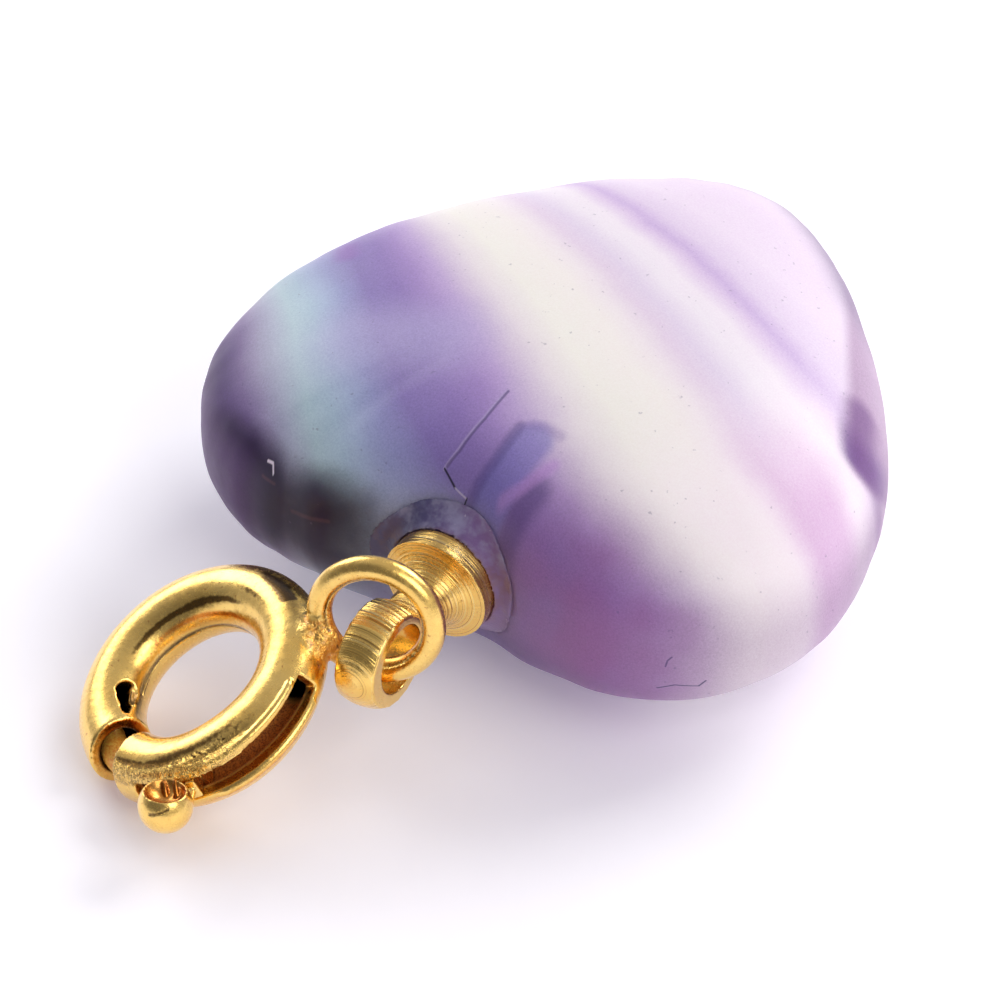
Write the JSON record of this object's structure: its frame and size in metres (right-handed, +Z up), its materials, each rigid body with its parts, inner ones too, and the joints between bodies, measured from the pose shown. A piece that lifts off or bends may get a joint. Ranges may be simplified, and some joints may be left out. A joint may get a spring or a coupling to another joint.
{
  "type": "heart pendant with spring ring clasp",
  "caption": "Puffed heart of banded purple stone, glued to a turned gilt bail at its cleft and hung from a spring ring clasp by a soldered tail ring.",
  "frame": {"origin": "on the surface the pendant lies on, under the middle of its bounding box", "axes": "+Z up from the surface; +Y from the clasp and bail towards the tip of the heart; X across the heart's lobes"},
  "size_m": [0.015, 0.0208, 0.0067],
  "materials": {
    "stone": "polished, cloudy, banded in purple, cream and blue-green",
    "glue": "clear and glossy",
    "gilt": "gold-plated, satin"
  },
  "bodies": {
    "pendant": {"heart_stone": "stone", "glue_bead": "glue", "peg_bail": "gilt", "clasp_ring": "gilt"},
    "bolt": {"clasp_bolt": "gilt"}
  },
  "joints": [
    {"name": "clasp_trigger", "type": "hinge", "parent": "pendant", "child": "bolt", "pos_m": [-0.00331, -0.00659, 0.00183], "axis": [-0.329, -0.3825, 0.8634], "range_deg": [0, 40], "stiffness_Nm_per_rad": 0.004, "springref_deg": -17.19}
  ]
}
